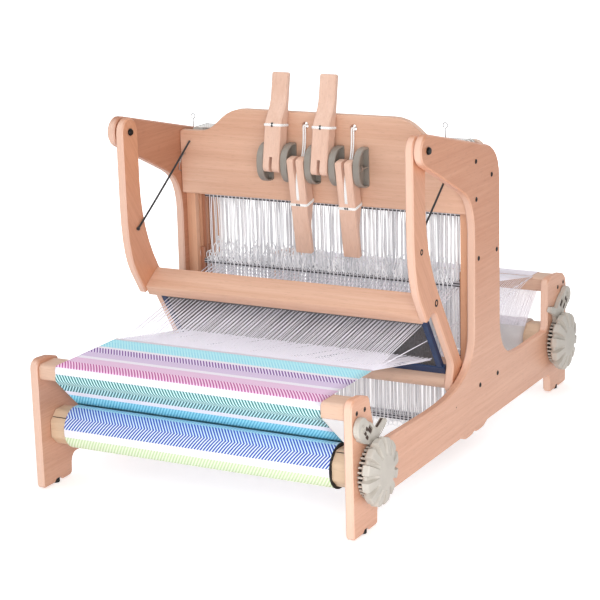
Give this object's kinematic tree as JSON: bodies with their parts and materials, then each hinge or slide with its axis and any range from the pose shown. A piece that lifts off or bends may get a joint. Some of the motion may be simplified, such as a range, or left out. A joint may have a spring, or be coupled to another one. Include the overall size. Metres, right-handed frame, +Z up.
{
  "type": "table loom",
  "caption": "Wooden table loom with lever-lifted shafts, an overhead beater with a reed, a cloth beam and a warp beam with ratchet knobs, and a warp with striped cloth on it.",
  "frame": {"origin": "middle of the footprint, on the table", "axes": "+X to the weaver's right, +Y from the weaver to the back, +Z up"},
  "size_m": [0.6464, 0.942, 0.6648],
  "materials": {
    "beech": "satin lacquered beech",
    "pale_wood": "plain pale wood",
    "plastic": "matte beige-grey moulding",
    "bracket_plastic": "matte grey moulding",
    "steel": "plain steel",
    "foot_rubber": "black rubber",
    "elastic": "black elastic cord",
    "heddle_cord": "white polyester cord",
    "lift_cord": "white braided cord",
    "reed_metal": "navy bands round steel wires",
    "cloth": "handwoven cloth in coloured herringbone stripes",
    "warp_yarn": "white warp yarn"
  },
  "bodies": {
    "frame": {"back_beam": "beech", "breast_beam": "beech", "castle_front_board": "beech", "castle_rear_board": "beech", "cloth_web": "cloth", "front_left_foot": "foot_rubber", "front_right_foot": "foot_rubber", "left_elastic": "elastic", "left_pivot_bolt": "steel", "left_pulleys": "plastic", "left_shaft_guide": "pale_wood", "left_side_frame": "beech", "lever_axle": "steel", "lever_bracket_1": "bracket_plastic", "lever_bracket_2": "bracket_plastic", "lever_bracket_3": "bracket_plastic", "lever_bracket_4": "bracket_plastic", "lever_bracket_5": "bracket_plastic", "lift_cord_1": "lift_cord", "lift_cord_2": "lift_cord", "lift_cord_3": "lift_cord", "lift_cord_4": "lift_cord", "rear_left_foot": "foot_rubber", "rear_right_foot": "foot_rubber", "right_elastic": "elastic", "right_pivot_bolt": "steel", "right_pulleys": "plastic", "right_shaft_guide": "pale_wood", "right_side_frame": "beech", "warp_back": "warp_yarn", "warp_front": "warp_yarn", "warp_middle_lower": "warp_yarn", "warp_middle_upper": "warp_yarn", "warp_tail": "warp_yarn"},
    "beater": {"beater_left_arm": "beech", "beater_right_arm": "beech", "beater_top_rail": "beech", "beater_bottom_rail": "beech", "reed": "reed_metal"},
    "cloth_beam": {"cloth_beam": "pale_wood", "front_knob": "plastic", "cloth_roll": "cloth"},
    "warp_beam": {"warp_beam": "pale_wood", "rear_knob": "plastic", "warp_roll": "warp_yarn"},
    "front_pawl": {"front_pawl": "plastic"},
    "rear_pawl": {"rear_pawl": "plastic"},
    "lever_1": {"lever_1": "beech"},
    "shaft_1": {"shaft_1": "pale_wood", "heddles_1": "heddle_cord"},
    "lever_2": {"lever_2": "beech"},
    "shaft_2": {"shaft_2": "pale_wood", "heddles_2": "heddle_cord"},
    "lever_3": {"lever_3": "beech"},
    "shaft_3": {"shaft_3": "pale_wood", "heddles_3": "heddle_cord"},
    "lever_4": {"lever_4": "beech"},
    "shaft_4": {"shaft_4": "pale_wood", "heddles_4": "heddle_cord"}
  },
  "joints": [
    {"name": "beater_swing", "type": "hinge", "parent": "frame", "child": "beater", "pos_m": [-0.01385, -0.174, 0.576], "axis": [1, 0, 0], "range_deg": [-30, 0], "stiffness_Nm_per_rad": 3, "springref_deg": 45.84, "deforming": ["left_elastic", "right_elastic", "warp_front", "warp_middle_upper", "warp_middle_lower"]},
    {"name": "lever_1_turn", "type": "hinge", "parent": "frame", "child": "lever_1", "pos_m": [-0.0866, -0.014, 0.5035], "axis": [1, 0, 0], "range_deg": [0, 199.5], "deforming": ["lift_cord_1"]},
    {"name": "shaft_1_lift", "type": "slide", "parent": "frame", "child": "shaft_1", "axis": [0, 0, 1], "range_m": [0, 0.1265], "deforming": ["warp_back"]},
    {"name": "lever_2_turn", "type": "hinge", "parent": "frame", "child": "lever_2", "pos_m": [-0.0381, -0.014, 0.5035], "axis": [1, 0, 0], "range_deg": [-199.5, 0], "deforming": ["lift_cord_2"]},
    {"name": "shaft_2_lift", "type": "slide", "parent": "frame", "child": "shaft_2", "axis": [0, 0, 1], "range_m": [-0.1265, 0]},
    {"name": "lever_3_turn", "type": "hinge", "parent": "frame", "child": "lever_3", "pos_m": [0.0104, -0.014, 0.5035], "axis": [1, 0, 0], "range_deg": [0, 199.5], "deforming": ["lift_cord_3"]},
    {"name": "shaft_3_lift", "type": "slide", "parent": "frame", "child": "shaft_3", "axis": [0, 0, 1], "range_m": [0, 0.1265]},
    {"name": "lever_4_turn", "type": "hinge", "parent": "frame", "child": "lever_4", "pos_m": [0.0589, -0.014, 0.5035], "axis": [1, 0, 0], "range_deg": [-199.5, 0], "deforming": ["lift_cord_4"]},
    {"name": "shaft_4_lift", "type": "slide", "parent": "frame", "child": "shaft_4", "axis": [0, 0, 1], "range_m": [-0.1265, 0]},
    {"name": "cloth_beam_turn", "type": "hinge", "parent": "frame", "child": "cloth_beam", "pos_m": [-0.01385, -0.411, 0.103], "axis": [1, 0, 0], "continuous": true},
    {"name": "warp_beam_turn", "type": "hinge", "parent": "frame", "child": "warp_beam", "pos_m": [-0.01385, 0.411, 0.103], "axis": [1, 0, 0], "continuous": true},
    {"name": "front_pawl_lift", "type": "hinge", "parent": "frame", "child": "front_pawl", "pos_m": [0.29615, -0.451, 0.185], "axis": [1, 0, 0], "range_deg": [0, 35]},
    {"name": "rear_pawl_lift", "type": "hinge", "parent": "frame", "child": "rear_pawl", "pos_m": [0.29615, 0.451, 0.185], "axis": [1, 0, 0], "range_deg": [-35, 0]}
  ],
  "couplings": [
    {"joint": "shaft_1_lift", "follows": "lever_1_turn", "m_per_rad": 0.03619},
    {"joint": "shaft_2_lift", "follows": "lever_2_turn", "m_per_rad": 0.03619},
    {"joint": "shaft_3_lift", "follows": "lever_3_turn", "m_per_rad": 0.03619},
    {"joint": "shaft_4_lift", "follows": "lever_4_turn", "m_per_rad": 0.03619}
  ]
}
